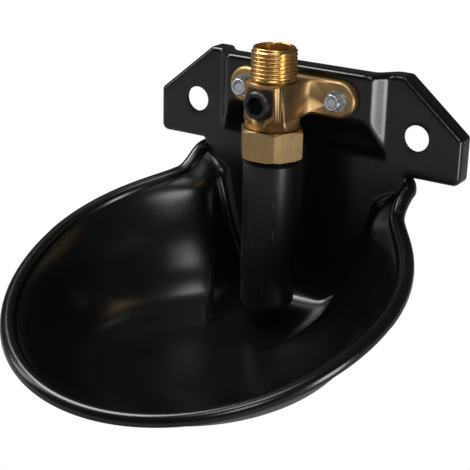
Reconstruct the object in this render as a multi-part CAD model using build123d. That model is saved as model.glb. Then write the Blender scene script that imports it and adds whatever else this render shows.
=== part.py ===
from build123d import *
import math
import os

# Livestock drinking bowl with a brass tube valve.
# Frame: +Z up, Y = 0 is the wall, the bowl stands out towards -Y, X = 0 is the middle,
# Z = 0 is the height of the two wall holes. Millimetres.

# ---- driving dimensions: pressed bowl -------------------------------------------------
sheet = 2.0                  # thickness of the pressed sheet
lip_depth = 9.2              # width of the edge returned towards the wall
pad_step = 8.3               # how far the valve pad stands out in front of the ears
wall_hole_spacing = 118.0
wall_hole_d = 12.0
plate_top_z = 27.0
plate_top_half = 51.6        # half width along the top edge
plate_half = 80.8            # half width across the ears
plate_shoulder_z = 2.5       # where the slanted corner meets the upright side
plate_bottom_z = -19.3       # lower edge of the ears
plate_corner_r = 5.0
plate_edge_r = 1.8           # outer bend radius of the returned edge
plate_tab_z = -31.5          # lower end of the plate between the rim's ends
pad_bend_r = 4.0             # outer bend radius round the pad
pad_foot_r = 2.0             # bend radius where the pad rises from the plate
pad_half = 38.0              # half width of the pad's front face
pad_draft = 6.5              # how much wider the pad is at its foot, each side
pad_foot_z = 4.0             # where the pad's face ends and slopes back
pad_slope_z = -10.5          # where that slope runs out in the plate
rim_z = -29.9                # middle of the rolled rim in the plane of the plate
rim_slope = 0.309            # rise of the rim towards the wall, per unit of depth
rim_width = 7.0              # width of the rolled rim
rim_drop = 3.3               # how far the rolled edge hangs below the rim's middle
rim_leg = 1.5                # overlap of the roll with the bowl's wall
rim_half = 89.4              # half width of the bowl over the rim
rim_middle = 77.8            # widest place of the bowl, in front of the plate
rim_front = 93.2             # reach from there to the front of the rim
rim_back = 83.6              # reach of the same oval towards the plate
neck_half = 60.0             # half width of the rim where it runs into the plate
neck_sharpness = 10          # how tightly the oval turns into the neck at the rim
floor_sharpness = 2.5        # and at the floor
floor_z = -93.0              # inner floor below the drinking tube
floor_slope = 0.118          # fall of the floor towards the front, per unit of depth
crease_r = 5.0               # inner bend radius between the bowl's wall and the plate

# ---- driving dimensions: valve --------------------------------------------------------
valve_reach = 19.2           # valve axis in front of the pad
valve_z = 14.5               # height of the flange, its screws and the regulating screw
inlet_d = 20.955             # G 1/2 pipe thread, outside diameter
inlet_bore_d = 17.0
inlet_top_z = 38.7
inlet_thread_length = 14.2
inlet_core = 1.162           # depth of the pipe thread
body_top_z = 22.8
body_half = 11.2             # half width of the casting's block
body_front = 11.8            # flat front face, from the valve axis
body_front_half = 7.8
flange_thick = 4.0
flange_half_height = 8.6
flange_round = 1.8
strainer_height = 6.0
strainer_rim = 0.8
strainer_sheet = 0.6
strainer_hole_r = 0.55
strainer_wire = 1.0
strainer_ledge = 1.4         # brass left between the strainer and the regulating screw
screw_spacing = 49.0
collar_d = 24.8              # round collar below the block
collar_top_z = 6.5
collar_bottom_z = 2.3
outlet_thread_d = 23.8
body_bottom_z = -3.5
passage_d = 6.0
chamber_d = 14.8
chamber_top_z = 8.0
seat_d = 18.0
seat_thick = 3.0
seat_lip = 0.5
orifice_d = 9.0
seal_d = 13.2
seal_thick = 1.5
disc_thick = 1.5
spindle_d = 3.0
spring_wire = 0.9
spring_coil_d = 9.2
spring_turns = 4
boss_height = 2.0
foot_d = 5.2
foot_thick = 1.0
foot_gap = 0.5               # between the spindle foot and the hub in the tube

# ---- driving dimensions: regulating screw ---------------------------------------------
plug_d = 12.9
plug_stand = 3.7             # how far it stands out of the casting
plug_thread_length = 5.0     # threaded length inside the casting
plug_shank_d = 9.8
plug_socket_af = 8.0
plug_socket_depth = 6.0
ring_section_d = 1.5
plug_travel_in = 1.0         # room for it to be screwed in
plug_travel_out = 1.0
plug_stop = 0.2              # left over at each end of the travel
plug_tip_short = 1.8         # its tip ends this far in front of the valve axis

# ---- driving dimensions: union nut and drinking tube ----------------------------------
nut_af = 27.0
nut_height = 13.7
nut_lip = 2.0
nut_chamfer = 30.0           # degrees, on the upper corners
nut_turn = 34.6              # one corner of the nut, from the front towards +X
nut_gap = 0.3                # between the nut and the casting's collar
gasket_thick = 1.5
ball_d = 21.8
ball_gap = 1.3               # between the gasket and the flat top of the ball
ball_low = 3.5               # the ball ends this far below the pivot
slip_ring_thick = 0.5
slip_ring_low = 3.2          # its edges, below the pivot
slip_ring_high = 0.4
tube_d = 25.4
tube_wall = 2.0
tube_end_z = -83.0
tube_shoulder = 1.7          # from the nut down to the tube's shoulder
tube_neck_d = 18.8
tube_neck_bore_d = 15.0
hub_d = 7.0
hub_thick = 2.0
hub_drop = 1.0               # from the shoulder down to the hub
hub_arm_width = 1.6
hub_arm_start = 1.0          # the arms start this far from the axis

# ---- driving dimensions: M5 screws through the flange ---------------------------------
m5_d = 5.0
m5_hole_d = 5.5
m5_af = 8.0
m5_head = 3.5
m5_nut = 5.0
m5_hex = 3.4                 # height of the nut's hexagon below its round collar
m5_collar_d = 7.8
m5_collar_wall = 0.55
m5_recess = 0.7              # the screw's end lies this far inside the nut's collar
washer_d = 10.0
washer_thick = 1.0

# ---- clearances -----------------------------------------------------------------------
thread_gap = 0.05            # radial, between mating threads
run_gap = 0.05               # radial, shaft in a guide
ball_seat_gap = 0.25

# ---- places worked out from the sizes above -------------------------------------------
plate_y = -lip_depth
pad_y = plate_y - pad_step
valve_y = pad_y - valve_reach
flange_y = pad_y - flange_thick
body_front_y = valve_y - body_front
plug_front_y = body_front_y - plug_stand
seat_top_z = body_bottom_z + seat_thick
seal_z = seat_top_z + seat_lip
disc_z = seal_z + seal_thick
spring_z = disc_z + disc_thick
nut_top_z = collar_bottom_z - nut_gap
nut_bottom_z = nut_top_z - nut_height
gasket_z = body_bottom_z - gasket_thick
ball_top_z = gasket_z - ball_gap
pivot_z = ball_top_z - ball_gap
shoulder_z = nut_bottom_z - tube_shoulder
nut_lip_z = nut_bottom_z + nut_lip
ball_bottom_z = pivot_z - ball_low
hub_top_z = shoulder_z - hub_drop
strainer_z = valve_z + plug_d / 2 + strainer_ledge
plug_thread_end_y = body_front_y + plug_thread_length
plug_screw_end_y = plug_thread_end_y - plug_travel_in - plug_stop
plug_bore_r = plug_shank_d / 2 + run_gap
plug_tip_y = valve_y - plug_tip_short
plug_bore_end_y = plug_tip_y + plug_travel_in + 1.0
groove_width = ring_section_d + 2 * run_gap
groove_y = plug_thread_end_y + plug_travel_out + plug_stop
groove_r = plug_bore_r - ring_section_d - run_gap
head_y = pad_y + sheet + washer_thick
nut_back_y = flange_y - washer_thick
nut_front_y = nut_back_y - m5_nut
screw_end_y = nut_front_y + m5_recess
insert_r = m5_collar_d / 2 - m5_collar_wall


def round_bar(radius, low, high):
    """A cylinder on the valve axis between two heights."""
    bar = Cylinder(radius, high - low, align=(Align.CENTER, Align.CENTER, Align.MIN))
    return bar.moved(Location((0, valve_y, low)))


def bar_along_y(radius, start, end, x, z):
    """A cylinder that runs from start to end along +Y."""
    bar = Cylinder(radius, end - start, align=(Align.CENTER, Align.CENTER, Align.MIN))
    return bar.moved(Location((x, start, z), (-90, 0, 0)))


def hexagon_on_y(across_flats, start, end, x, z):
    """A hexagonal bar along +Y with two flats level."""
    sketch = RegularPolygon(across_flats / 2, 6, major_radius=False)
    bar = extrude(sketch, end - start)
    return bar.moved(Location((x, start, z), (-90, 0, 0)))


def turned(points):
    """A ring on the valve axis, turned from an outline of (radius, height) points."""
    outline = Polyline(*[(r, 0, z) for r, z in points], close=True)
    ring = revolve(make_face(outline), Axis.Z)
    return ring.moved(Location((0, valve_y, 0)))


def octagon_round(diameter):
    """Eight corners that stand for the section of a thin wire, one flat face down."""
    radius = diameter / 2 / math.cos(math.radians(22.5))
    turns = [math.radians(22.5 + 45 * place) for place in range(8)]
    return [(radius * math.cos(turn), radius * math.sin(turn)) for turn in turns]


def ball_shell(radius):
    """A ball about the point that the drinking tube swings on."""
    return Sphere(radius).moved(Location((0, valve_y, pivot_z)))


def rim_height(y):
    return rim_z + rim_slope * (y - plate_y)


def floor_height(y):
    return floor_z + floor_slope * (y - valve_y)


def bowl_outline(inset, scale, neck, sharpness):
    """Half outline of the bowl in plan, from its front round to behind the plate."""
    middle = plate_y - rim_middle
    half = (rim_half - inset) * scale
    front = (rim_front - inset) * scale
    back = (rim_back - inset) * scale
    points = []
    for degrees in (0, 18, 36, 54, 72):
        turn = math.radians(degrees)
        points.append((half * math.sin(turn), middle - front * math.cos(turn)))
    for share in (0.0, 0.22, 0.40, 0.55, 0.68, 0.80, 0.90, 1.02, 1.16):
        y = middle + share * rim_middle
        oval = half * math.sqrt(max(0.0, 1 - ((y - middle) / back) ** 2))
        size = (oval ** sharpness + neck ** sharpness) ** (1 / sharpness)
        points.append((size, y))
    return points


# share of the depth, scale of the oval and of the neck, from the rim down to the floor
wall_levels = [(0.0, 1.0, 1.0), (0.09, 0.962, 0.86), (0.26, 0.905, 0.79), (0.48, 0.835, 0.72),
               (0.70, 0.735, 0.62), (0.86, 0.61, 0.53), (0.96, 0.45, 0.42), (1.0, 0.28, 0.28)]


def bowl_form(thickness):
    """The bowl as one solid: its hollow alone, or its hollow with the sheet round it."""
    depth = rim_height(valve_y) - floor_z
    sections = []
    for index, (share, scale, neck) in enumerate(wall_levels):
        above = wall_levels[max(index - 1, 0)]
        below = wall_levels[min(index + 1, len(wall_levels) - 1)]
        fall = (below[0] - above[0]) * depth
        run = (above[1] - below[1]) * (rim_half - rim_width)
        slant = math.hypot(fall, run)
        if index == 0:
            grow, drop = thickness, 0.0
        elif index == len(wall_levels) - 1:
            grow, drop = 0.3 * thickness, thickness
        else:
            grow, drop = thickness * fall / slant, thickness * run / slant
        sharpness = neck_sharpness ** (1 - share) * floor_sharpness ** share
        half = bowl_outline(rim_width, scale, (neck_half - rim_width) * neck, sharpness)
        right = []
        for place, (x, y) in enumerate(half):
            if place < 5:
                turn = math.radians(18 * place)
                x, y = x + grow * math.sin(turn), y - grow * math.cos(turn)
            else:
                x = x + grow
            right.append((x, y, rim_height(y) * (1 - share) + floor_height(y) * share - drop))
        end_x, end_y, end_z = right[-1]
        tilt = (end_z - right[-2][2]) / (end_y - right[-2][1])
        closing = [(0.66 * end_x, end_y + 8, end_z + 8 * tilt), (0.0, end_y + 10, end_z + 10 * tilt)]
        left = [(-x, y, z) for x, y, z in (right[1:] + closing[:1])[::-1]]
        sections.append(Wire(Spline(right + closing + left, periodic=True)))
    return Solid.make_loft(sections[::-1])


def in_front_of(y):
    """Everything in front of an upright plane."""
    return Pos(0, y, 0) * Box(400, 400, 400, align=(Align.CENTER, Align.MAX, Align.CENTER))


def rolled_rim():
    """The rolled edge: an arch over the rim line with its outer leg turned down."""
    half = bowl_outline(rim_width / 2, 1.0, neck_half - rim_width / 2, neck_sharpness)
    right = [(x, y, rim_height(y)) for x, y in half]
    left = [(-x, y, z) for x, y, z in right[1:]]
    path = Wire(Spline(right[::-1] + left))
    section_plane = Plane(origin=path @ 0, x_dir=(1, 0, 0), z_dir=path % 0)
    out = rim_width / 2
    hole = out - sheet
    lines = [
        Line((-out, -rim_leg), (-out, 0)),
        RadiusArc((-out, 0), (out, 0), out),
        Line((out, 0), (out, -rim_drop)),
        Line((out, -rim_drop), (hole, -rim_drop)),
        Line((hole, -rim_drop), (hole, 0)),
        RadiusArc((hole, 0), (-hole, 0), -hole),
        Line((-hole, 0), (-hole, -rim_leg)),
        Line((-hole, -rim_leg), (-out, -rim_leg)),
    ]
    return sweep(section_plane * make_face(lines), path=path)


def plate_outline():
    """The outline of the back plate with its two ears, drawn in X and Z."""
    corners = [
        (-plate_top_half, plate_top_z), (plate_top_half, plate_top_z),
        (plate_half, plate_shoulder_z), (plate_half, plate_bottom_z),
        (neck_half, plate_bottom_z), (neck_half, plate_tab_z),
        (-neck_half, plate_tab_z), (-neck_half, plate_bottom_z),
        (-plate_half, plate_bottom_z), (-plate_half, plate_shoulder_z),
    ]
    face = make_face(Polyline(*corners, close=True))
    outer = [v for v in face.vertices() if v.Y > plate_tab_z + 1 and abs(v.X) > neck_half + 1
             or v.Y > plate_top_z - 1]
    return fillet(outer, plate_corner_r)


def upright(face, start, end):
    """A face drawn in X and Z, given thickness from one depth to another."""
    block = extrude(face, end - start)
    return block.moved(Location((0, end, 0), (90, 0, 0)))


def pad_form(inset, back):
    """The raised valve pad: a block with sloped ends and foot, rounded along its bends."""
    block = Box(3 * pad_half, back - pad_y - inset, 3 * pad_half,
                align=(Align.CENTER, Align.MIN, Align.MAX))
    block = block.moved(Location((0, pad_y + inset, plate_top_z - inset)))
    foot_fall = pad_foot_z - pad_slope_z
    slopes = [
        (Vector(pad_half, pad_y, 0), Vector(pad_step, -pad_draft, 0)),
        (Vector(-pad_half, pad_y, 0), Vector(-pad_step, -pad_draft, 0)),
        (Vector(0, pad_y, pad_foot_z), Vector(0, -foot_fall, -pad_step)),
    ]
    for corner, outward in slopes:
        normal = outward.normalized()
        side = Plane(origin=corner - normal * inset, z_dir=normal)
        block = split(block, bisect_by=side, keep=Keep.BOTTOM)
    front = block.faces().sort_by(Axis.Y)[0]
    bends = [e for e in front.edges() if e.center().Z < plate_top_z - inset - 1]
    return fillet(bends, pad_bend_r - inset)


def bowl_hollow(thickness, back):
    """The bowl's form cut off at the plate, with a bend instead of a sharp corner there."""
    form = bowl_form(thickness) & in_front_of(back)
    corner = form.edges().filter_by(lambda e: all(abs((e @ share).Y - back) < 0.05 for share in (0, 0.5, 1))
                                    and (e @ 0.5).Z < rim_z - 2 * rim_drop)
    return fillet(corner, crease_r + thickness)


def is_outer_bend(edge):
    """Front edges of the plate and of the pad's top, where the returned edge begins."""
    place = edge @ 0.5
    on_plate = abs(edge.center().Y - plate_y) < 0.01 and place.Z > plate_tab_z + 1
    beside_pad = abs(place.X) < pad_half + pad_draft + pad_foot_r and place.Z < plate_top_z - 0.5
    on_pad_top = place.Z > plate_top_z - 0.01 and place.Y < plate_y
    return on_plate and not beside_pad or on_pad_top


def bowl_pressing():
    """Bowl, rolled rim, back plate and ears, drawn from one sheet."""
    bowl = bowl_hollow(sheet, plate_y + sheet) - bowl_hollow(0.0, plate_y)

    outline = plate_outline()
    front = upright(outline, plate_y, 0) + pad_form(0.0, plate_y + sheet)
    foot = front.edges().filter_by(lambda e: abs(e.center().Y - plate_y) < 0.01
                                   and abs(e.center().X) < plate_top_half - 2
                                   and pad_slope_z - 1 < e.center().Z < plate_top_z - 1)
    front = fillet(foot, pad_foot_r)
    front = fillet(front.edges().filter_by(is_outer_bend), plate_edge_r)
    inner = offset(outline, amount=-sheet, kind=Kind.INTERSECTION)
    hollow = upright(inner, plate_y + sheet, 10)
    open_end = Box(2 * (neck_half - sheet), 20, 20, align=(Align.CENTER, Align.MIN, Align.CENTER))
    open_end = open_end.moved(Location((0, plate_y + sheet, plate_tab_z)))
    plate = front - hollow - open_end - pad_form(sheet, plate_y + sheet + 1)

    # the edge keeps one width, so it is cut back where the pad stands forward
    angle = math.atan2(pad_step, pad_draft)
    edge = pad_half + pad_step / math.tan(angle)
    notch = make_face(Polyline((-edge, 1), (-edge, 0), (-pad_half, -pad_step), (pad_half, -pad_step),
                               (edge, 0), (edge, 1), close=True))
    notch = extrude(notch, 10).moved(Location((0, 0, plate_top_z - sheet - 0.5)))
    plate -= notch

    rim = rolled_rim() & in_front_of(0)
    body = bowl + plate + rim
    for x in (-wall_hole_spacing / 2, wall_hole_spacing / 2):
        body -= bar_along_y(wall_hole_d / 2, plate_y - 5, plate_y + sheet + 1, x, 0)
    for x in (-screw_spacing / 2, screw_spacing / 2):
        body -= bar_along_y(m5_hole_d / 2, pad_y - 5, pad_y + sheet + 1, x, valve_z)
    return body


def valve_casting_block():
    """The block of the casting: a flat front, rounded shoulders and straight cheeks."""
    front = body_front_y
    cheek = valve_y - 0.15 * body_half
    middle_x = 0.90 * body_half
    middle_y = (front + cheek) / 2 - 0.06 * body_half
    lines = [
        Line((-body_front_half, front), (body_front_half, front)),
        ThreePointArc((body_front_half, front), (middle_x, middle_y), (body_half, cheek)),
        Line((body_half, cheek), (body_half, pad_y)),
        Line((body_half, pad_y), (-body_half, pad_y)),
        Line((-body_half, pad_y), (-body_half, cheek)),
        ThreePointArc((-body_half, cheek), (-middle_x, middle_y), (-body_front_half, front)),
    ]
    block = extrude(make_face(lines), body_top_z - collar_top_z)
    return block.moved(Location((0, 0, collar_top_z)))


def valve_body():
    """Brass casting: threaded inlet, block, screw flange, collar and outlet thread."""
    block = valve_casting_block()
    span = screw_spacing + 2 * flange_half_height
    flange = extrude(SlotOverall(span, 2 * flange_half_height), flange_thick)
    flange = flange.moved(Location((0, pad_y, valve_z), (90, 0, 0)))
    rim_edges = flange.edges().filter_by(lambda e: abs(e.center().Y - flange_y) < 0.01)
    flange = fillet(rim_edges, flange_round)
    core_r = inlet_d / 2
    thread_low = inlet_top_z - inlet_thread_length
    inlet = turned([(0, body_top_z - 1), (core_r - inlet_core, body_top_z - 1),
                    (core_r - inlet_core, thread_low), (core_r, thread_low + inlet_core),
                    (core_r, inlet_top_z - inlet_core), (core_r - inlet_core, inlet_top_z), (0, inlet_top_z)])
    thread_r = outlet_thread_d / 2
    outlet = turned([(0, collar_top_z + 1), (collar_d / 2, collar_top_z + 1),
                     (collar_d / 2, collar_bottom_z),
                     (thread_r, collar_bottom_z), (thread_r, body_bottom_z + 1),
                     (thread_r - 1, body_bottom_z), (0, body_bottom_z)])
    body = block + flange + inlet + outlet

    body -= round_bar(inlet_bore_d / 2, strainer_z, inlet_top_z + 1)
    body -= round_bar(passage_d / 2, chamber_top_z - 1, strainer_z + 1)
    body -= round_bar(chamber_d / 2, seat_top_z - 1, chamber_top_z)
    body -= round_bar(seat_d / 2, body_bottom_z - 1, seat_top_z)
    body -= bar_along_y(plug_d / 2 + thread_gap, body_front_y - 1, plug_thread_end_y, 0, valve_z)
    body -= bar_along_y(plug_bore_r, plug_thread_end_y - 1, plug_bore_end_y, 0, valve_z)
    for x in (-screw_spacing / 2, screw_spacing / 2):
        body -= bar_along_y(m5_hole_d / 2, flange_y - 1, pad_y + 1, x, valve_z)
    return body


def inlet_strainer():
    """Perforated steel thimble with a flat rim, dropped into the inlet."""
    outer = inlet_bore_d / 2 - 2 * run_gap
    cup_r = passage_d / 2 + 2.6
    inside = cup_r - strainer_sheet
    top = strainer_z + strainer_height
    under = top - strainer_sheet
    round_r = 2 * strainer_sheet
    cup = turned([(outer, strainer_z), (outer, strainer_z + strainer_rim),
                  (cup_r, strainer_z + strainer_rim),
                  (cup_r, top - round_r), (cup_r - round_r, top), (0, top), (0, under),
                  (inside - round_r + 0.35, under), (inside, top - round_r - 0.25), (inside, strainer_z)])
    hole = Cylinder(strainer_hole_r, 4)
    for height in (1.9, 4.1):
        for place in range(12):
            turn = Location((0, valve_y, strainer_z + height), (0, 0, 30 * place))
            cup -= hole.moved(turn * Location((cup_r, 0, 0), (0, 90, 0)))
    for ring_r, count in ((0.0, 1), (2.0, 6), (4.0, 12)):
        for place in range(count):
            turn = Location((0, valve_y, top), (0, 0, 360 / count * place))
            cup -= hole.moved(turn * Location((ring_r, 0, 0)))
    return cup


def strainer_ring():
    """Wire ring that holds the strainer's rim down in the inlet."""
    middle_r = inlet_bore_d / 2 - run_gap / 2 - strainer_wire / 2
    middle_z = strainer_z + strainer_rim + strainer_wire / 2
    return turned([(middle_r + x, middle_z + z) for x, z in octagon_round(strainer_wire)])


def valve_seat():
    """Pressed-in seat with a raised lip and a three-armed guide for the spindle."""
    low, top = body_bottom_z, seat_top_z
    hole = orifice_d / 2
    ring = turned([(hole, low), (seat_d / 2 - run_gap, low), (seat_d / 2 - run_gap, top),
                   (hole + 0.9, top),
                   (hole + 0.9, seal_z), (hole, seal_z)])
    guide_r = spindle_d / 2 + run_gap
    ring += turned([(guide_r, low), (guide_r + 0.9, low), (guide_r + 0.9, top), (guide_r, top)])
    for place in range(3):
        arm = Box(hole - guide_r + 0.3, 1.0, 1.6, align=(Align.MIN, Align.CENTER, Align.MIN))
        arm = arm.moved(Location((guide_r + 0.4, 0, low)))
        ring += arm.moved(Location((0, valve_y, 0), (0, 0, 120 * place + 30)))
    return ring


def valve_seal():
    """Rubber washer that closes the seat."""
    inner = spindle_d / 2
    return turned([(inner, seal_z), (seal_d / 2, seal_z), (seal_d / 2, disc_z), (inner, disc_z)])


def valve_disc():
    """Brass disc above the seal, with a boss that centres the spring."""
    inner = spindle_d / 2
    boss = (spring_coil_d - spring_wire) / 2 - 0.6
    top = spring_z + boss_height
    return turned([(inner, disc_z), (seal_d / 2, disc_z), (seal_d / 2, spring_z), (boss, spring_z),
                   (boss, top - 0.4), (boss - 0.4, top), (inner, top)])


def valve_spindle():
    """Steel rod from the disc down to the foot that the tube's hub lifts."""
    bottom = hub_top_z + foot_gap
    top = spring_z + boss_height
    shaft = spindle_d / 2
    return turned([(0, bottom), (foot_d / 2 - 0.5, bottom), (foot_d / 2, bottom + 0.5),
                   (foot_d / 2, bottom + foot_thick), (shaft, bottom + foot_thick), (shaft, top - 0.4),
                   (shaft - 0.4, top), (0, top)])


def valve_spring():
    """Closing spring, drawn as a closed stack of coils between disc and casting."""
    rise = (chamber_top_z - spring_z - spring_wire) / spring_turns
    start_z = spring_z + spring_wire / 2
    path = Helix(pitch=rise, height=rise * spring_turns, radius=spring_coil_d / 2)
    path = path.moved(Location((0, valve_y, start_z)))
    wire_section = Plane(origin=path @ 0, z_dir=path % 0) * Polygon(*octagon_round(spring_wire))
    return sweep(wire_section, path=path, is_frenet=True)


def regulating_screw():
    """Black plastic screw with a hexagon socket; its tip throttles the passage."""
    front = plug_front_y
    screw_r = plug_d / 2
    tip = plug_tip_y
    shank = plug_shank_d / 2
    outline = [(0, front), (screw_r - 0.8, front), (screw_r, front + 0.8), (screw_r, plug_screw_end_y),
               (shank, plug_screw_end_y), (shank, groove_y), (groove_r, groove_y),
               (groove_r, groove_y + groove_width), (shank, groove_y + groove_width), (shank, tip - 0.8),
               (shank - 0.8, tip), (0, tip)]
    profile = make_face(Polyline(*[(r, 0, y) for r, y in outline], close=True))
    screw = revolve(profile, Axis.Z).moved(Location((0, 0, valve_z), (-90, 0, 0)))
    socket = hexagon_on_y(plug_socket_af, front - 1, front + plug_socket_depth, 0, valve_z)
    return screw - socket


def regulating_ring():
    """Rubber ring in the groove of the regulating screw."""
    middle_r = groove_r + run_gap / 2 + ring_section_d / 2
    section = Polyline(*[(middle_r + x, y, 0) for x, y in octagon_round(ring_section_d)], close=True)
    ring = revolve(make_face(section), Axis.Y)
    return ring.moved(Location((0, groove_y + groove_width / 2, valve_z)))


def union_nut():
    """Hexagonal brass nut that holds the tube's ball head up to the casting."""
    blank = extrude(RegularPolygon(nut_af / 2, 6, major_radius=False), nut_height)
    corner_r = nut_af / 2 / math.cos(math.radians(30))
    blank = blank.moved(Location((0, valve_y, nut_bottom_z), (0, 0, nut_turn - 90)))
    mid_r = nut_af / 2
    fall = (corner_r - mid_r + 0.2) * math.tan(math.radians(nut_chamfer))
    barrel = turned([(0, nut_bottom_z), (mid_r + 0.6, nut_bottom_z),
                     (corner_r + 0.1, nut_bottom_z + 0.9),
                     (corner_r + 0.1, nut_top_z - fall), (mid_r - 0.1, nut_top_z), (0, nut_top_z)])
    nut = blank & barrel
    thread_r = outlet_thread_d / 2 + thread_gap
    nut -= round_bar(thread_r, nut_lip_z, nut_top_z + 1)
    return nut - ball_shell(ball_d / 2 + 2 * ball_seat_gap + slip_ring_thick)


def tube_gasket():
    """Flat rubber washer between the casting's outlet and the tube's head."""
    outer = outlet_thread_d / 2 - 0.2
    inner = outer - 3.2
    return turned([(inner, gasket_z), (outer, gasket_z), (outer, body_bottom_z), (inner, body_bottom_z)])


def slip_ring():
    """Plastic bearing ring, a zone of a thin sphere, between the tube's ball and the nut's lip."""
    zone = round_bar(nut_af, pivot_z - slip_ring_low, pivot_z - slip_ring_high)
    outside = ball_shell(ball_d / 2 + ball_seat_gap + slip_ring_thick)
    return (outside - ball_shell(ball_d / 2 + ball_seat_gap)) & zone


def drinking_tube():
    """Black plastic tube with a ball head above its shoulder and a hub inside its neck."""
    ball_r = ball_d / 2
    outer = tube_d / 2
    inner = outer - tube_wall
    neck = tube_neck_d / 2
    bore = tube_neck_bore_d / 2
    pipe = turned([(bore, ball_bottom_z), (neck, ball_bottom_z), (neck, shoulder_z - 0.6),
                   (neck + 0.6, shoulder_z), (outer - 1.2, shoulder_z), (outer, shoulder_z - 1.2),
                   (outer, tube_end_z + 0.5), (outer - 0.5, tube_end_z), (inner + 0.5, tube_end_z),
                   (inner, tube_end_z + 0.5), (inner, shoulder_z - 4.5), (bore, shoulder_z - 3.0)])
    head = ball_shell(ball_r) & round_bar(nut_af, ball_bottom_z, ball_top_z)
    head -= round_bar(bore, ball_bottom_z - 1, ball_top_z + 1)
    tube = pipe + head
    tube += round_bar(hub_d / 2, hub_top_z - hub_thick, hub_top_z)
    for place in range(3):
        arm = Box(bore + 0.3 - hub_arm_start, hub_arm_width, hub_thick, align=(Align.MIN, Align.CENTER, Align.MAX))
        arm = arm.moved(Location((hub_arm_start, 0, hub_top_z)))
        tube += arm.moved(Location((0, valve_y, 0), (0, 0, 120 * place)))
    return tube


def both_screws(maker):
    """The same piece at each end of the flange."""
    return Compound(children=[maker(-screw_spacing / 2), maker(screw_spacing / 2)])


def flange_screw(x):
    head = hexagon_on_y(m5_af, head_y, head_y + m5_head, x, valve_z)
    shank = bar_along_y(m5_d / 2, screw_end_y + 0.5, head_y + 0.5, x, valve_z)
    tip = Cone(m5_d / 2 - 0.5, m5_d / 2, 0.5).moved(Location((x, screw_end_y + 0.25, valve_z), (-90, 0, 0)))
    return head + shank + tip


def plain_washer(x, start):
    washer = bar_along_y(washer_d / 2, start, start + washer_thick, x, valve_z)
    return washer - bar_along_y(m5_hole_d / 2, start - 1, start + washer_thick + 1, x, valve_z)


def flange_nut(x):
    hexagon = hexagon_on_y(m5_af, nut_back_y - m5_hex, nut_back_y, x, valve_z)
    collar = bar_along_y(m5_collar_d / 2, nut_front_y, nut_back_y - 1, x, valve_z)
    edge = collar.edges().filter_by(lambda e: abs(e.center().Y - nut_front_y) < 0.01)
    nut = hexagon + fillet(edge, 0.6)
    nut -= bar_along_y(insert_r, nut_front_y + 0.35, nut_front_y + 1.6, x, valve_z)
    nut -= bar_along_y(insert_r - 0.45, nut_front_y - 1, nut_front_y + 1, x, valve_z)
    return nut - bar_along_y(m5_d / 2 + 0.02, nut_front_y, nut_back_y + 1, x, valve_z)


def nut_insert(x):
    ring = bar_along_y(insert_r, nut_front_y + 0.35, nut_front_y + 1.6, x, valve_z)
    return ring - bar_along_y(m5_d / 2 + 0.02, nut_front_y, nut_front_y + 3, x, valve_z)


def flange_screws():
    return both_screws(flange_screw)


def rear_washers():
    return both_screws(lambda x: plain_washer(x, pad_y + sheet))


def front_washers():
    return both_screws(lambda x: plain_washer(x, flange_y - washer_thick))


def flange_nuts():
    return both_screws(flange_nut)


def nut_inserts():
    return both_screws(nut_insert)


pieces = [bowl_pressing, valve_body, inlet_strainer, strainer_ring, valve_seat, valve_seal, valve_disc,
          valve_spindle, valve_spring, regulating_screw, regulating_ring, union_nut, tube_gasket, slip_ring,
          drinking_tube, flange_screws, rear_washers, front_washers, flange_nuts, nut_inserts]

os.makedirs("parts", exist_ok=True)
for piece in pieces:
    export_step(piece(), f"parts/{piece.__name__}.step")
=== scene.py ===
"""Livestock drinking bowl with a brass tube valve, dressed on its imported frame.

The sections follow the object as it is put together: the pressed bowl and its mounting
plate, the brass valve and what is inside it, the screws that hold it, the regulating
screw, the union nut and the drinking tube. The studio comes last.
"""
import math

import bmesh
import bpy
from mathutils import Matrix, Vector, geometry


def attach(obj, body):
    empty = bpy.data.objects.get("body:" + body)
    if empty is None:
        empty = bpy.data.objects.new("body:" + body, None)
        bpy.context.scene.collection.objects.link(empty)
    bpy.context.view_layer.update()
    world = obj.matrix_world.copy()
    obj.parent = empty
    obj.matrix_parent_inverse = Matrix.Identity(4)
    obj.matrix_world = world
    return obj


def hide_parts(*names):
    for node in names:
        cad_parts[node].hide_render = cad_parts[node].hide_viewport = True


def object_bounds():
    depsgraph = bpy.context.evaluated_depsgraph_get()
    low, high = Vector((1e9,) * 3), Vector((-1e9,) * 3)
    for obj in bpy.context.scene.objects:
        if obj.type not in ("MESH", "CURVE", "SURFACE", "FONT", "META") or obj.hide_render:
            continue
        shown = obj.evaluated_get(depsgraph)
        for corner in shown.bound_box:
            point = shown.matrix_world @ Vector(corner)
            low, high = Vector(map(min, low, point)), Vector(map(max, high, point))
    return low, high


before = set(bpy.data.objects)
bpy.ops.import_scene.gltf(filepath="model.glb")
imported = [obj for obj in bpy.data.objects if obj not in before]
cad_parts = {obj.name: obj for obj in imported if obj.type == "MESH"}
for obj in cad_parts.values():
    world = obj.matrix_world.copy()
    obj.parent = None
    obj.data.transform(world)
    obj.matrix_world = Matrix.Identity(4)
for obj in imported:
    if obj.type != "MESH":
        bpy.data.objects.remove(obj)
cad_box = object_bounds()


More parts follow.
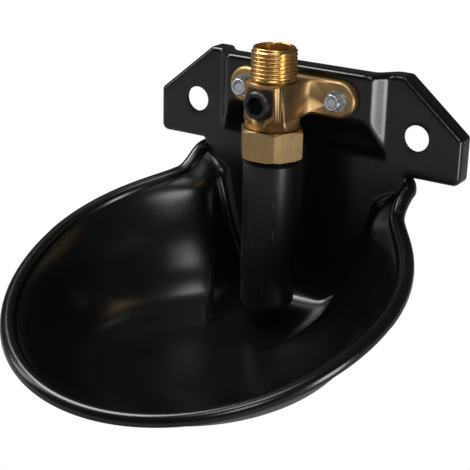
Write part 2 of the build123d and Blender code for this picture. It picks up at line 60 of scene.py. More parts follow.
# ---- Pressed bowl ----------------------------------------------------------------------
# Deep-drawn from 2 mm sheet steel and stoved with gloss black enamel. The wall runs from
# a rolled rim to a shallow floor, and is cut off flat at the back by the mounting plate.
MM = 0.001                                 # sizes are in millimetres, meshes in metres
SHEET = 2.0
PLATE_Y = -9.2                             # front face of the mounting plate's ears
VALVE_Y = -36.7                            # axis of the valve and of the drinking tube
BOWL_MIDDLE = -87.0                        # the bowl is widest here
BOWL_HALF, BOWL_FRONT, BOWL_BACK = 89.4, 93.2, 83.6
NECK_HALF = 60.0
RIM_WIDTH, RIM_DROP = 7.0, 1.0
RIM_Z, RIM_SLOPE = -29.9, 0.309
NECK_RISE, NECK_START = 3.6, -24.0         # the rim sweeps up to the ears behind this place
NECK_SWELL = 0.3                           # and its roll grows taller by this share
ARCH_HEIGHT = 0.97                         # height of the roll's arch for its half width
SKIRT_DRAFT = 0.02
FLOOR_Z, FLOOR_SLOPE = -93.0, 0.086
RIM_SQUARENESS, FLOOR_SQUARENESS = 10.0, 2.5
BACK_CORNER, CORNER_DEPTH = 5.5, 0.10      # radius of the back corners, full at this depth
HEEL_REACH, HEEL_START = 7.0, 0.88         # the back wall curves forward below this depth

# depth, width of the oval and width of the neck, each as a share, from rim to floor
WALL = [(0.0, 1.0, 1.0), (0.09, 0.962, 0.86), (0.26, 0.905, 0.79), (0.48, 0.835, 0.72),
        (0.70, 0.735, 0.62), (0.86, 0.61, 0.53), (0.955, 0.45, 0.42), (0.992, 0.33, 0.32),
        (1.0, 0.22, 0.22)]


def neck_share(y):
    """How far the rim has swept up towards the ears, from none to all."""
    share = min(1.0, max(0.0, (y - NECK_START) / (PLATE_Y - NECK_START)))
    return share ** 2 * (3 - 2 * share)


def rim_height(y):
    return RIM_Z + RIM_SLOPE * (y - PLATE_Y) + NECK_RISE * neck_share(y)


def floor_height(y):
    return FLOOR_Z + FLOOR_SLOPE * (y - VALVE_Y)


def wall_at(place):
    """Depth, oval and neck at a place along the wall's table, on a smooth curve."""
    k = min(int(place), len(WALL) - 2)
    t = place - k
    before, here = WALL[max(k - 1, 0)], WALL[k]
    after, beyond = WALL[k + 1], WALL[min(k + 2, len(WALL) - 1)]
    result = []
    for p, a, b, q in zip(before, here, after, beyond):
        start, end = (b - p) / 2, (q - a) / 2
        result.append((2 * t**3 - 3 * t**2 + 1) * a + (t**3 - 2 * t**2 + t) * start
                      + (3 * t**2 - 2 * t**3) * b + (t**3 - t**2) * end)
    return result


def bowl_width(y, inset, oval_share, neck_width, squareness):
    """Half width of the bowl behind its widest place, where the oval runs into the neck."""
    half = (BOWL_HALF - inset) * oval_share
    back = (BOWL_BACK - inset) * oval_share
    neck = (NECK_HALF - inset) * neck_width
    oval = half * math.sqrt(max(0.0, 1 - ((y - BOWL_MIDDLE) / back) ** 2))
    return (oval ** squareness + neck ** squareness) ** (1 / squareness)


def bowl_half_loop(place):
    """One level of the wall on the +X side, from the front round to the middle of the back."""
    depth, oval, neck = wall_at(place)
    squareness = RIM_SQUARENESS ** (1 - depth) * FLOOR_SQUARENESS ** depth
    corner = BACK_CORNER * min(1.0, max(0.0, depth) / CORNER_DEPTH)
    heel = max(0.0, depth - HEEL_START) / (1 - HEEL_START)
    back_y = PLATE_Y - HEEL_REACH * (1 - math.sqrt(max(0.0, 1 - heel * heel)))
    loop = []
    # the neck widens the back half a little, so the front half swells to meet it
    half = (BOWL_HALF - RIM_WIDTH) * oval
    swell = bowl_width(BOWL_MIDDLE, RIM_WIDTH, oval, neck, squareness) / half - 1
    for step in range(FRONT_STEPS):
        turn = math.pi / 2 * step / FRONT_STEPS
        loop.append((half * math.sin(turn) * (1 + swell * math.sin(turn) ** 4),
                     BOWL_MIDDLE - (BOWL_FRONT - RIM_WIDTH) * oval * math.cos(turn)))
    for step in range(SIDE_STEPS):
        y = BOWL_MIDDLE + (back_y - corner - BOWL_MIDDLE) * step / SIDE_STEPS
        loop.append((bowl_width(y, RIM_WIDTH, oval, neck, squareness), y))
    edge_x = bowl_width(back_y - corner, RIM_WIDTH, oval, neck, squareness)
    for step in range(CORNER_STEPS):
        turn = math.pi / 2 * step / CORNER_STEPS
        loop.append((edge_x - corner * (1 - math.cos(turn)),
                     back_y - corner * (1 - math.sin(turn))))
    for step in range(BACK_STEPS + 1):
        loop.append(((edge_x - corner) * (1 - step / BACK_STEPS), back_y))
    return [Vector((x, y, rim_height(y) * (1 - depth) + floor_height(y) * depth))
            for x, y in loop]


def rim_half(y):
    """Half width of the roll's middle line behind the bowl's widest place."""
    return bowl_width(y, RIM_WIDTH / 2, 1.0, 1.0, RIM_SQUARENESS)


FRONT_STEPS, SIDE_STEPS, CORNER_STEPS, BACK_STEPS = 44, 50, 7, 12
END_STEPS, ARCH_STEPS = 6, 14
ROLL_END_Y, ROLL_TUCK = -3.2, 2.6          # behind the plate the roll tucks in under the ear
rim_line = []
for step in range(FRONT_STEPS):
    turn = math.pi / 2 * step / FRONT_STEPS
    rim_line.append(((BOWL_HALF - RIM_WIDTH / 2) * math.sin(turn),
                     BOWL_MIDDLE - (BOWL_FRONT - RIM_WIDTH / 2) * math.cos(turn)))
for step in range(SIDE_STEPS):
    y = BOWL_MIDDLE + (PLATE_Y - BOWL_MIDDLE) * step / SIDE_STEPS
    rim_line.append((rim_half(y), y))
rim_line = [(x, y) for x, y in rim_line if y < PLATE_Y]
for step in range(END_STEPS + 1):
    y = PLATE_Y + (ROLL_END_Y - PLATE_Y) * step / END_STEPS
    rim_line.append((rim_half(y) - ROLL_TUCK * (step / END_STEPS) ** 2, y))
rim_line = [Vector((x, y, rim_height(y))) for x, y in rim_line]

bowl = bmesh.new()


def both_sides(points):
    """Vertices for a half row, +X side first, then mirrored, in order round the bowl."""
    right = [bowl.verts.new(p * MM) for p in points]
    left = [bowl.verts.new(Vector((-p.x, p.y, p.z)) * MM) if p.x > 1e-6 else None for p in points]
    return right, [mirror or same for mirror, same in zip(left, right)]


def strip(above, below):
    """Faces between two rows; they are triangles where the rows share a vertex."""
    for (a, b), (c, d) in zip(zip(above, above[1:]), zip(below, below[1:])):
        corners = list(dict.fromkeys((a, b, d, c)))
        if len(corners) > 2:
            bowl.faces.new(corners)


# the roll: skirt, arch and inner edge, swept along the rim line
roll = [(RIM_WIDTH / 2, -RIM_DROP), (RIM_WIDTH / 2 + SKIRT_DRAFT, -RIM_DROP / 2)]
roll += [(RIM_WIDTH / 2 * math.cos(a), RIM_WIDTH / 2 * math.sin(a) * ARCH_HEIGHT)
         for a in (math.pi * k / ARCH_STEPS for k in range(ARCH_STEPS + 1))]
previous = None
for out, up in roll:
    row = []
    for k, spot in enumerate(rim_line):
        ahead = rim_line[min(k + 1, len(rim_line) - 1)] - rim_line[max(k - 1, 0)]
        if k == 0:
            ahead = Vector((1, 0, 0))
        ahead.normalize()
        outward = ahead.cross(Vector((0, 0, 1))).normalized()
        upward = outward.cross(ahead)
        grown = 1 + NECK_SWELL * neck_share(spot.y) if up > 0 else 1
        row.append(spot + outward * out + upward * up * grown)
    row = both_sides(row)
    if previous:
        for above, below in zip(previous, row):
            strip(above, below)
    previous = row
inner_edge = previous

# the wall hangs from the roll's inner edge; its levels lie closer together under the rim
open_count = FRONT_STEPS + SIDE_STEPS + 1
LEVELS = 5                                 # between two rows of the wall's table
rows = [inner_edge]
places = [0.12, 0.3, 0.5, 0.75] + [1 + k / LEVELS for k in range(LEVELS * (len(WALL) - 2) + 1)]
for place in places:
    rows.append(both_sides(bowl_half_loop(place)))
back_top = both_sides(bowl_half_loop(0.0)[open_count:])
for side in (0, 1):
    top = inner_edge[side][:open_count] + back_top[side]
    strip(top, rows[1][side])
for upper, lower in zip(rows[1:], rows[2:]):
    for side in (0, 1):
        strip(upper[side], lower[side])
floor_loop = rows[-1][0] + [v for v in reversed(rows[-1][1]) if v not in set(rows[-1][0])]
bowl.faces.new(floor_loop)
bmesh.ops.remove_doubles(bowl, verts=bowl.verts, dist=0.02 * MM)
bmesh.ops.triangulate(bowl, faces=[f for f in bowl.faces if len(f.verts) > 4])
bmesh.ops.recalc_face_normals(bowl, faces=bowl.faces)


def finish_mesh(work, name):
    """Turns the work into a smooth-shaded object at the origin."""
    mesh = bpy.data.meshes.new(name)
    work.to_mesh(mesh)
    work.free()
    mesh.shade_smooth()
    piece = bpy.data.objects.new(name, mesh)
    bpy.context.collection.objects.link(piece)
    return piece


# an open sheet has no outside of its own: its faces are turned towards the hollow
low = min(bowl.faces, key=lambda f: f.calc_center_median().z)
if low.normal.z < 0:
    bmesh.ops.reverse_faces(bowl, faces=bowl.faces)
bowl_shell = finish_mesh(bowl, "bowl_shell")


SHARP = math.radians(40)                   # bends tighter than this shade as edges


def give_thickness(piece, thickness):
    """Thickens a sheet away from its shown side."""
    solidify = piece.modifiers.new("sheet", "SOLIDIFY")
    solidify.thickness = thickness * MM
    solidify.offset = -1


def bake_modifiers(piece):
    """Replaces the mesh by what its modifiers make of it."""
    bpy.context.view_layer.update()
    made = piece.evaluated_get(bpy.context.evaluated_depsgraph_get())
    shaped = bpy.data.meshes.new_from_object(made)
    piece.modifiers.clear()
    piece.data = shaped
    shaped.name = piece.name
    shaped.set_sharp_from_angle(angle=SHARP)


give_thickness(bowl_shell, SHEET)
bake_modifiers(bowl_shell)


# ---- Mounting plate --------------------------------------------------------------------
# Drawn from the same sheet as the bowl: two ears with a wall hole each, a raised pad for
# the valve between them, and an edge returned to the wall all the way round.
EAR_HALF, EAR_FOOT_Z, EAR_TIP_Z = 80.8, -19.3, 2.5
SHOULDER_HALF, PLATE_TOP_Z = 51.6, 27.0    # the ears slant up to the top edge here
EAR_FOOT_R, SLANT_R, NECK_R = 3.4, 2.6, 1.2
PAD_HALF, PAD_DRAFT, PAD_STEP = 38.0, 6.5, 8.3
PAD_FOOT_Z, PAD_SLOPE_Z = 4.0, -10.5
PAD_BEND, PAD_FOOT_BEND = 2.6, 2.0         # widths of the soft bends at its top and foot
PLATE_BEND = 2.2
LIP = -PLATE_Y                             # the edge is returned as far as the wall
HOLE_X, HOLE_R, HOLE_EDGE = 59.0, 6.0, 0.25
SCREW_X, SCREW_Z, SCREW_HOLE_R, SCREW_EDGE = 24.5, 14.5, 2.75, 0.3
ARC_STEPS, BEND_STEPS, BOTTOM_STEPS = 8, 6, 60
EDGE_SPACING = 1.5


def soft_min(a, b, width):
    """The smaller of two heights, rounded over where they cross."""
    overlap = max(width - abs(a - b), 0.0) / width
    return min(a, b) - overlap * overlap * width / 4


def plate_front(x, z):
    """Y of the plate's front face, raised over the pad."""
    side = (PAD_HALF + PAD_DRAFT - abs(x)) * PAD_STEP / PAD_DRAFT
    foot = (z - PAD_SLOPE_Z) * PAD_STEP / (PAD_FOOT_Z - PAD_SLOPE_Z)
    rise = soft_min(soft_min(side, foot, PAD_BEND), PAD_STEP, PAD_BEND)
    return PLATE_Y + soft_min(-rise, 0.0, PAD_FOOT_BEND)


def edge_path():
    """The plate's outline with rounded corners, from the -X neck over the top to the +X neck."""
    low, neck = rim_height(PLATE_Y), NECK_HALF - RIM_WIDTH + PLATE_BEND
    half = [(neck, low, 0), (neck, EAR_FOOT_Z, -NECK_R), (EAR_HALF, EAR_FOOT_Z, EAR_FOOT_R),
            (EAR_HALF, EAR_TIP_Z, SLANT_R), (SHOULDER_HALF, PLATE_TOP_Z, SLANT_R)]
    corners = [(-x, z, radius) for x, z, radius in half] + half[::-1]
    path = []
    for k, (x, z, radius) in enumerate(corners):
        here = Vector((x, z))
        if radius == 0:
            path.append(here)
            continue
        before = (Vector(corners[k - 1][:2]) - here).normalized()
        after = (Vector(corners[k + 1][:2]) - here).normalized()
        half_angle = before.angle(after) / 2
        centre = here + (before + after).normalized() * (abs(radius) / math.sin(half_angle))
        start = here + before * (abs(radius) / math.tan(half_angle)) - centre
        end = here + after * (abs(radius) / math.tan(half_angle)) - centre
        swing = start.angle_signed(end)
        for step in range(ARC_STEPS + 1):
            path.append(centre + Matrix.Rotation(-swing * step / ARC_STEPS, 2) @ start)
    dense = []
    for a, b in zip(path, path[1:]):
        length = (b - a).length
        count = round(length / EDGE_SPACING) if length > 2 * EDGE_SPACING else 1
        dense += [a.lerp(b, k / count) for k in range(count)]
    dense.append(path[-1])
    return dense


plate = bmesh.new()
outline = edge_path()
face_edge = []
for k, point in enumerate(outline):
    ahead = outline[min(k + 1, len(outline) - 1)] - outline[max(k - 1, 0)]
    inward = Vector((ahead.y, -ahead.x)).normalized()
    face_edge.append((point, inward))


def edge_ring(inset, depth):
    """A row of vertices along the outline, moved inwards and back."""
    ring = []
    for point, inward in face_edge:
        x, z = point + inward * inset
        rest_x, rest_z = point + inward * PLATE_BEND
        front = plate_front(rest_x, rest_z)
        ring.append(plate.verts.new(Vector((x, front + depth, z)) * MM))
    return ring


rings = [edge_ring(PLATE_BEND, 0.0)]
for step in range(1, BEND_STEPS + 1):
    turn = math.pi / 2 * step / BEND_STEPS
    rings.append(edge_ring(PLATE_BEND * (1 - math.sin(turn)), PLATE_BEND * (1 - math.cos(turn))))
for depth in (4.5, 7.0, LIP):
    rings.append(edge_ring(0.0, depth))
for outer, inner in zip(rings, rings[1:]):
    for a, b, c, d in zip(outer, outer[1:], inner[1:], inner):
        plate.faces.new((a, b, c, d))

# the face inside the bend: a net of points, close together where the pad bends
border = [Vector((v.co.x, v.co.z)) / MM for v in rings[0]]
spots, links = list(border), []
for step in range(1, BOTTOM_STEPS):
    spots.append(border[-1].lerp(border[0], step / BOTTOM_STEPS))
whole_face = list(range(len(spots)))
hole_rims = []
for x, z, radius, edge, count in ((HOLE_X, 0, HOLE_R, HOLE_EDGE, 48),
                                  (-HOLE_X, 0, HOLE_R, HOLE_EDGE, 48),
                                  (SCREW_X, SCREW_Z, SCREW_HOLE_R, SCREW_EDGE, 24),
                                  (-SCREW_X, SCREW_Z, SCREW_HOLE_R, SCREW_EDGE, 24)):
    start = len(spots)
    for step in range(count):
        turn = 2 * math.pi * step / count
        arm = Vector((math.cos(turn), math.sin(turn))) * (radius + edge)
        spots.append(Vector((x, z)) + arm)
    links += [(start + k, start + (k + 1) % count) for k in range(count)]
    hole_rims.append((start, count, Vector((x, z)), radius, edge))


def inside_plate(point, margin):
    """Whether a point lies on the plate's face, this far from its bends and holes."""
    x, z = abs(point.x), point.y
    bend = PLATE_BEND + margin
    if z > PLATE_TOP_Z - bend or z < rim_height(PLATE_Y) + margin or x > EAR_HALF - bend:
        return False
    if z < EAR_FOOT_Z + bend and x > NECK_HALF - RIM_WIDTH - margin:
        return False
    slant = Vector((PLATE_TOP_Z - EAR_TIP_Z, EAR_HALF - SHOULDER_HALF)).normalized()
    if (x - SHOULDER_HALF) * slant.x + (z - PLATE_TOP_Z) * slant.y > -bend:
        return False
    away = Vector((x - EAR_HALF + EAR_FOOT_R, z - EAR_FOOT_Z - EAR_FOOT_R))
    if away.x > 0 and away.y < 0 and away.length > EAR_FOOT_R - bend:
        return False
    return all((Vector((x, z)) - Vector((abs(c.x), c.y))).length > r + e + margin
               for _, _, c, r, e in hole_rims)


NET, COARSE = 0.8, 6                       # spacing of the net, and its stride where it is flat
NET_LOW, NET_MARGIN = -29.0, 0.45
PAD_BENDS_X, PAD_BENDS_Z = (35.0, 47.5), (-14.0, 9.0)
z = NET_LOW
while z < PLATE_TOP_Z:
    x = -80.0
    while x < EAR_HALF:
        near_side = PAD_BENDS_X[0] < abs(x) < PAD_BENDS_X[1] and z > PAD_BENDS_Z[0]
        near_foot = abs(x) < PAD_BENDS_X[1] and PAD_BENDS_Z[0] < z < PAD_BENDS_Z[1]
        coarse = round(x / NET) % COARSE == 0 and round((z - NET_LOW) / NET) % COARSE == 0
        point = Vector((x, z))
        if (near_side or near_foot or coarse) and inside_plate(point, NET_MARGIN):
            spots.append(point)
        x += NET
    z += NET
points, _, triangles, origin, _, _ = geometry.delaunay_2d_cdt(spots, links, [whole_face], 1, 1e-4)
net = {}
for k, sources in enumerate(origin):
    known = [s for s in sources if s < len(border)]
    if known:
        net[k] = rings[0][known[0]]
    else:
        x, z = points[k]
        net[k] = plate.verts.new(Vector((x, plate_front(x, z), z)) * MM)
# the net also fills the holes: triangles inside a hole's ring of points are left out
for triangle in triangles:
    centre = sum((points[k] for k in triangle), Vector((0, 0))) / 3
    if all((centre - c).length > (r + e) * (math.cos(math.pi / n) - 0.001)
           for _, n, c, r, e in hole_rims):
        plate.faces.new([net[k] for k in triangle])
index_of = {source: k for k, sources in enumerate(origin) for source in sources}
for start, count, centre, radius, edge in hole_rims:
    previous = [net[index_of[start + k]] for k in range(count)]
    for turn_share in (0.35, 0.7, 1.0):
        turn = math.pi / 2 * turn_share
        ring = []
        for k in range(count):
            angle = 2 * math.pi * k / count
            reach = radius + edge * (1 - math.sin(turn))
            x, z = centre + Vector((math.cos(angle), math.sin(angle))) * reach
            y = plate_front(x, z) + edge * (1 - math.cos(turn))
            ring.append(plate.verts.new(Vector((x, y, z)) * MM))
        for k in range(count):
            after = (k + 1) % count
            plate.faces.new((previous[k], previous[after], ring[after], ring[k]))
        previous = ring
bmesh.ops.remove_doubles(plate, verts=plate.verts, dist=0.01 * MM)
bmesh.ops.recalc_face_normals(plate, faces=plate.faces)
plate.faces.ensure_lookup_table()
facing = min(plate.faces, key=lambda f: f.calc_center_median().y)
if facing.normal.y > 0:
    bmesh.ops.reverse_faces(plate, faces=plate.faces)
back_plate = finish_mesh(plate, "back_plate")
give_thickness(back_plate, SHEET)
bake_modifiers(back_plate)

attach(bowl_shell, "root")
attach(back_plate, "root")
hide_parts("bowl_pressing")
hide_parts("bowl_pressing")


# the enamel: black, glossy and a little peeled, with dust caught in it
class Value:
    """A shader socket that takes Python arithmetic."""

    def __init__(self, finish, socket):
        self.finish, self.socket = finish, socket

    def _math(self, operation, *values):
        return self.finish.node("ShaderNodeMath", {"operation": operation},
                                dict(enumerate(values)))

    def __add__(self, other):
        return self._math("ADD", self, other)

    def __mul__(self, other):
        return self._math("MULTIPLY", self, other)

    __radd__ = __add__
    __rmul__ = __mul__


class Finish:
    """A material in the making: its nodes and the shader they feed."""

    def __init__(self, name, **constants):
        self.material = bpy.data.materials.new(name)
        self.material.use_nodes = True
        self.tree = self.material.node_tree
        self.shader = self.tree.nodes["Principled BSDF"]
        for socket, value in constants.items():
            self.shader.inputs[socket.replace("_", " ")].default_value = value
        self.place = self.node("ShaderNodeTexCoord", {}, {}, "Object")

    def node(self, kind, settings, inputs, output=0):
        made = self.tree.nodes.new(kind)
        for setting, value in settings.items():
            if setting == "stops":
                ramp = made.color_ramp
                for index, (position, colour) in enumerate(value):
                    stop = ramp.elements[index] if index < 2 else ramp.elements.new(position)
                    stop.position, stop.color = position, colour
            else:
                setattr(made, setting, value)
        for socket, value in inputs.items():
            if isinstance(value, Value):
                self.tree.links.new(value.socket, made.inputs[socket])
            else:
                made.inputs[socket].default_value = value
        return Value(self, made.outputs[output])

    def noise(self, scale, detail, stretch=(1, 1, 1)):
        place = self.node("ShaderNodeMapping", {}, {"Vector": self.place, "Scale": stretch})
        return self.node("ShaderNodeTexNoise", {},
                         {"Vector": place, "Scale": scale, "Detail": detail}, "Fac")

    def ramp(self, value, *stops):
        """Colours or plain levels at places along a value from 0 to 1."""
        stops = [(p, (c, c, c, 1) if isinstance(c, float) else (*c, 1)) for p, c in stops]
        return self.node("ShaderNodeValToRGB", {"stops": stops}, {"Fac": value})

    def blend(self, share, ground, marking):
        """A colour with another laid over it by a share."""
        return self.node("ShaderNodeMix", {"data_type": "RGBA"},
                         {"Factor": share, "A": (*ground, 1), "B": (*marking, 1)}, "Result")

    def feed(self, socket, value):
        self.tree.links.new(value.socket, self.shader.inputs[socket])

    def relief(self, *layers):
        """Bump from (height, depth in mm) layers, finest last."""
        normal = None
        for height, depth in layers:
            inputs = {"Height": height, "Distance": depth * MM, "Strength": 1.0}
            if normal:
                inputs["Normal"] = normal
            normal = self.node("ShaderNodeBump", {}, inputs, "Normal")
        self.feed("Normal", normal)


enamel = Finish("gloss_black_enamel", Specular_IOR_Level=0.5, Coat_Roughness=0.03)
haze, peel = enamel.noise(60, 4), enamel.noise(900, 1.5)
specks = enamel.ramp(enamel.noise(2600, 2), (0.70, 0.0), (0.76, 1.0))
enamel.feed("Base Color", enamel.blend(specks * 0.35, (0.0035, 0.0035, 0.0038),
                                       (0.06, 0.06, 0.062)))
enamel.feed("Roughness", haze * 0.12 + 0.15 + specks * 0.2)
enamel.relief((enamel.noise(120, 2), 0.02), (peel, 0.009))
for piece in (bowl_shell, back_plate):
    piece.data.materials.clear()
    piece.data.materials.append(enamel.material)


# ---- Brass valve -----------------------------------------------------------------------
# A sand-cast brass body, tumbled and blasted. Its inlet is turned and threaded to take the
# water pipe, and its flange sits on the plate's pad under two screws.
THREAD_R, BORE_R, THREAD_TOP, THREAD_LOW = 10.4775, 8.5, 38.7, 24.5
PITCH, THREAD_DEPTH = 1.814, 1.05
CHAMFER, RELIEF_DEPTH = 0.9, 0.5
NECK_BOTTOM, CASTING_TOP = 22.4, 23.3      # the thread's neck stands in the casting's top
TURN_STEPS, ROWS_PER_PITCH = 96, 10
THREAD_END = THREAD_TOP - CHAMFER


def thread_radius(z, turn):
    """Radius of the thread's rounded ridge, fading out at both ends."""
    phase = ((z - THREAD_LOW) / PITCH - turn / (2 * math.pi)) % 1.0
    wave = 0.5 + 0.5 * math.cos(2 * math.pi * phase)
    wave = min(1.0, max(0.0, 1.25 * wave - 0.10))
    wave = wave * wave * (3 - 2 * wave)
    lead_in = min(1.0, max(0.0, (THREAD_END - z) / 1.2)) * 0.75 + 0.25
    run_out = min(1.0, max(0.0, (z - THREAD_LOW) / 1.5))
    crest = THREAD_R - 0.8 * (1 - min(1.0, (THREAD_END - z) / 0.8 + 0.25))
    return crest - THREAD_DEPTH * (1 - wave) * lead_in * run_out


# from the neck up the thread, over the chamfered mouth and down the bore
levels = int((THREAD_END - THREAD_LOW) / PITCH * ROWS_PER_PITCH)
profile = [(NECK_BOTTOM, THREAD_R - RELIEF_DEPTH), (THREAD_LOW - 0.3, THREAD_R - RELIEF_DEPTH)]
profile += [(THREAD_LOW + k * (THREAD_END - THREAD_LOW) / levels, None) for k in range(levels + 1)]
profile += [(THREAD_TOP - 0.35, THREAD_R - 0.85), (THREAD_TOP - 0.08, THREAD_R - 1.12),
            (THREAD_TOP, THREAD_R - 1.22), (THREAD_TOP, BORE_R + 0.35),
            (THREAD_TOP - 0.1, BORE_R + 0.08), (THREAD_TOP - 0.4, BORE_R),
            (THREAD_TOP - 4, BORE_R), (THREAD_TOP - 9, BORE_R), (NECK_BOTTOM, BORE_R)]
thread = bmesh.new()
thread_rings = []
for z, radius in profile:
    ring = []
    for k in range(TURN_STEPS):
        turn = 2 * math.pi * k / TURN_STEPS
        r = thread_radius(z, turn) if radius is None else radius
        place = Vector((r * math.cos(turn), VALVE_Y + r * math.sin(turn), z))
        ring.append(thread.verts.new(place * MM))
    thread_rings.append(ring)
for lower, upper in zip(thread_rings, thread_rings[1:] + thread_rings[:1]):
    for k in range(TURN_STEPS):
        after = (k + 1) % TURN_STEPS
        thread.faces.new((lower[k], lower[after], upper[after], upper[k]))
bmesh.ops.recalc_face_normals(thread, faces=thread.faces)
inlet_thread = finish_mesh(thread, "inlet_thread")

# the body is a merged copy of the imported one, cut off under the thread
casting = bmesh.new()
casting.from_mesh(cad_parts["valve_body"].data)
bmesh.ops.remove_doubles(casting, verts=casting.verts, dist=0.002 * MM)
bmesh.ops.bisect_plane(casting, geom=casting.verts[:] + casting.edges[:] + casting.faces[:],
                       plane_co=(0, 0, CASTING_TOP * MM), plane_no=(0, 0, 1), clear_outer=True)
bmesh.ops.holes_fill(casting, edges=[e for e in casting.edges if e.is_boundary], sides=0)
valve_casting = finish_mesh(casting, "valve_casting")
valve_casting.data.set_sharp_from_angle(angle=math.radians(28))
for piece in (valve_casting, inlet_thread):
    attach(piece, "root")
    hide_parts("valve_body")


def brass(name, colour, deep, roughness, grain, relief, stretch=(1, 1, 1)):
    """Brass that drifts between two tones in patches, with a finer grain along its cut."""
    finish = Finish(name, Metallic=1.0)
    patches = finish.noise(180, 3)
    fine = finish.noise(grain, 3, stretch)
    tone = finish.ramp(patches * 0.55 + fine * 0.45, (0.34, deep), (0.62, colour))
    finish.feed("Base Color", tone)
    finish.feed("Roughness", fine * 0.18 + roughness)
    finish.relief((patches, relief * 1.5), (fine, relief))
    return finish


def dress(finish, *pieces):
    """Puts a finish on pieces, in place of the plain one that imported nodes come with."""
    for piece in pieces:
        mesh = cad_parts[piece].data if isinstance(piece, str) else piece.data
        mesh.materials.clear()
        mesh.materials.append(finish.material)


blasted = brass("blasted_brass", (0.58, 0.38, 0.18), (0.36, 0.23, 0.10), 0.36, 1900, 0.014)
turned = brass("turned_brass", (0.82, 0.53, 0.20), (0.68, 0.42, 0.15), 0.17, 300, 0.0005,
               (1, 1, 8))
dress(blasted, valve_casting)
dress(turned, inlet_thread)


# ---- Inside the valve ------------------------------------------------------------------
# A brass seat pressed into the body, and a brass disc that a stainless spring holds down
# on it. A perforated stainless thimble in the inlet keeps grit out.
def clouded(name, tones, roughness, spread, noise, ends=(0.3, 0.7), **constants):
    """A finish between two tones, whose shine drifts with the same soft cloud."""
    finish = Finish(name, **constants)
    cloud = finish.noise(*noise)
    finish.feed("Base Color", finish.ramp(cloud, *zip(ends, tones)))
    finish.feed("Roughness", cloud * spread + roughness)
    return finish, cloud


dress(turned, "valve_seat", "valve_disc")
steel, _ = clouded("drawn_stainless", ((0.42, 0.42, 0.42), (0.62, 0.62, 0.61)), 0.25, 0.15,
                   (1200, 2, (1, 1, 6)), Metallic=1.0)
dress(steel, "inlet_strainer", "strainer_ring", "valve_spindle", "valve_spring")


# ---- Rubber seals ----------------------------------------------------------------------
# Moulded black rubber: the washer under the valve's disc, the flat gasket between the body
# and the tube's ball, and the ring that seals the regulating screw.
rubber, _ = clouded("black_rubber", ((0.012, 0.012, 0.012), (0.03, 0.03, 0.03)), 0.55, 0.2,
                    (1500, 3), Specular_IOR_Level=0.35)
dress(rubber, "valve_seal", "tube_gasket", "regulating_ring")


# ---- Flange screws, washers and nuts ---------------------------------------------------
# Bright zinc-plated steel. The screws come through the pad from behind, and each nut
# carries a white nylon ring that keeps it from working loose.
zinc, _ = clouded("bright_zinc", ((0.52, 0.56, 0.62), (0.72, 0.76, 0.82)), 0.18, 0.2,
                  (700, 3), Metallic=1.0)
zinc.relief((zinc.noise(900, 2), 0.003))
dress(zinc, "flange_screws", "rear_washers", "front_washers", "flange_nuts")
nylon, _ = clouded("natural_nylon", ((0.50, 0.53, 0.56), (0.62, 0.65, 0.68)), 0.35, 0.2,
                   (900, 2), Specular_IOR_Level=0.4)
dress(nylon, "nut_inserts")


# ---- Regulating screw ------------------------------------------------------------------
# A moulded black plastic screw with a hexagon socket. It sits in the front of the casting
# and throttles the flow.
moulded, grain = clouded("moulded_polyamide", ((0.006, 0.006, 0.007), (0.022, 0.022, 0.025)),
                         0.22, 0.25, (1400, 4), (0.35, 0.75), Specular_IOR_Level=0.5)
moulded.relief((grain, 0.02))
dress(moulded, "regulating_screw")


# ---- Union nut -------------------------------------------------------------------------
# Milled from brass bar. It holds the tube's ball up against the gasket, on a nylon ring
# that lets the ball slip.
milled = brass("milled_brass", (0.46, 0.305, 0.148), (0.37, 0.243, 0.112), 0.20, 900, 0.004,
               (3, 3, 0.35))
dress(milled, "union_nut")
dress(nylon, "slip_ring")


# ---- Drinking tube ---------------------------------------------------------------------
# Satin black plastic, lightly scuffed along its length where muzzles push it.
tube_black = Finish("satin_tube_plastic", Specular_IOR_Level=0.5)
grain = tube_black.noise(2200, 3)
marks = tube_black.ramp(tube_black.noise(420, 5, (1, 1, 0.25)), (0.66, 0.0), (0.72, 1.0))
tube_black.feed("Base Color", tube_black.blend(marks * 0.5, (0.008, 0.008, 0.009),
                                               (0.05, 0.05, 0.052)))
tube_black.feed("Roughness", grain * 0.12 + 0.30 + marks * 0.2)
tube_black.relief((grain, 0.012))
dress(tube_black, "drinking_tube")


# ---- Studio ----------------------------------------------------------------------------
# A plain pale floor just under the bowl, soft lamps round it and a white ground behind.
# The floor and the world look white only to the camera, and pale in reflections.
FLOOR_HALF, FLOOR_GAP = 4.0, 0.0001
floor_z = cad_box[0][2] - FLOOR_GAP
floor_mesh = bpy.data.meshes.new("floor")
floor_mesh.from_pydata([(x * FLOOR_HALF, y * FLOOR_HALF, floor_z)
                        for x, y in ((-1, -1), (1, -1), (1, 1), (-1, 1))], [], [(0, 1, 2, 3)])
floor = bpy.data.objects.new("floor", floor_mesh)
bpy.context.collection.objects.link(floor)
ground = Finish("pale_floor", Roughness=0.9)
ground.feed("Base Color", ground.ramp(ground.noise(3, 2), (0.3, 0.38), (0.7, 0.42)))
rays = ground.tree.nodes.new("ShaderNodeLightPath")
glow = ground.tree.nodes.new("ShaderNodeEmission")
glow.inputs["Strength"].default_value = 1.0
mixer = ground.tree.nodes.new("ShaderNodeMixShader")
output = ground.tree.nodes["Material Output"]
seen = (Value(ground, rays.outputs["Is Camera Ray"])
        + Value(ground, rays.outputs["Is Glossy Ray"]) * 0.19)
ground.tree.links.new(seen.socket, mixer.inputs["Fac"])
ground.tree.links.new(ground.shader.outputs["BSDF"], mixer.inputs[1])
ground.tree.links.new(glow.outputs["Emission"], mixer.inputs[2])
ground.tree.links.new(mixer.outputs["Shader"], output.inputs["Surface"])
floor_mesh.materials.append(ground.material)

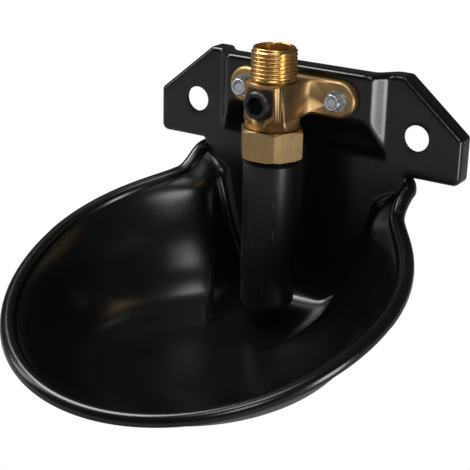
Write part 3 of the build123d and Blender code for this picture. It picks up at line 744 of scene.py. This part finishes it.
world = bpy.data.worlds.new("studio")
bpy.context.scene.world = world
world.use_nodes = True
tree = world.node_tree
sky = tree.nodes["Background"]
sky.inputs["Color"].default_value = (1, 1, 1, 1)
rays = tree.nodes.new("ShaderNodeLightPath")
level = tree.nodes.new("ShaderNodeMix")
level.inputs["A"].default_value = 0.06
level.inputs["B"].default_value = 1.0
tree.links.new(rays.outputs["Is Camera Ray"], level.inputs["Factor"])
tree.links.new(level.outputs["Result"], sky.inputs["Strength"])


def softbox(name, place, target, width, height, power):
    """A soft rectangular lamp that faces its target."""
    lamp = bpy.data.lights.new(name, "AREA")
    lamp.shape = "RECTANGLE"
    lamp.size, lamp.size_y, lamp.energy = width, height, power
    holder = bpy.data.objects.new(name, lamp)
    holder.location = place
    holder.rotation_euler = (Vector(target) - Vector(place)).to_track_quat("-Z", "Y").to_euler()
    bpy.context.collection.objects.link(holder)


softbox("overhead", (0.1, -0.3, 0.75), (0, -0.08, -0.05), 0.3, 0.3, 1.5)
softbox("key", (-0.42, -0.10, 0.60), (0, -0.15, -0.08), 0.34, 0.34, 4)
softbox("front", (0.55, -0.70, 0.55), (0, -0.06, -0.03), 0.25, 0.25, 1.6)
softbox("left", (-0.75, -0.35, 0.30), (0, -0.08, -0.03), 0.2, 0.5, 1.2)
softbox("right", (0.313, -0.112, -0.04), (0.04, -0.012, 0.01), 0.08, 0.12, 0.34)

# a long lens, above the rim and to the right of the middle
AZIMUTH, ELEVATION, ROLL = (math.radians(v) for v in (32.18, 20.21, 1.306))
TARGET, DISTANCE = Vector((-26.61, -29.2, -57.48)), 641.3
IMAGE, FOCAL_PIXELS, CENTRE = 470, 1326.2, (228.75, 232.63)
SENSOR = 36.0
back = Vector((math.sin(AZIMUTH) * math.cos(ELEVATION),
               -math.cos(AZIMUTH) * math.cos(ELEVATION), math.sin(ELEVATION)))
right = Vector((math.cos(AZIMUTH), math.sin(AZIMUTH), 0))
up = back.cross(right)
level_right = right * math.cos(ROLL) + up * math.sin(ROLL)
level_up = up * math.cos(ROLL) - right * math.sin(ROLL)
lens = bpy.data.cameras.new("camera")
lens.sensor_width = SENSOR
lens.lens = FOCAL_PIXELS / IMAGE * SENSOR
lens.shift_x = (IMAGE / 2 - CENTRE[0]) / IMAGE
lens.shift_y = (CENTRE[1] - IMAGE / 2) / IMAGE
lens.dof.use_dof = False
camera = bpy.data.objects.new("camera", lens)
aim = Matrix((level_right, level_up, back)).transposed().to_4x4()
camera.matrix_world = Matrix.Translation((TARGET + back * DISTANCE) * MM) @ aim
bpy.context.collection.objects.link(camera)
scene = bpy.context.scene
scene.camera = camera
scene.view_settings.view_transform = "Standard"
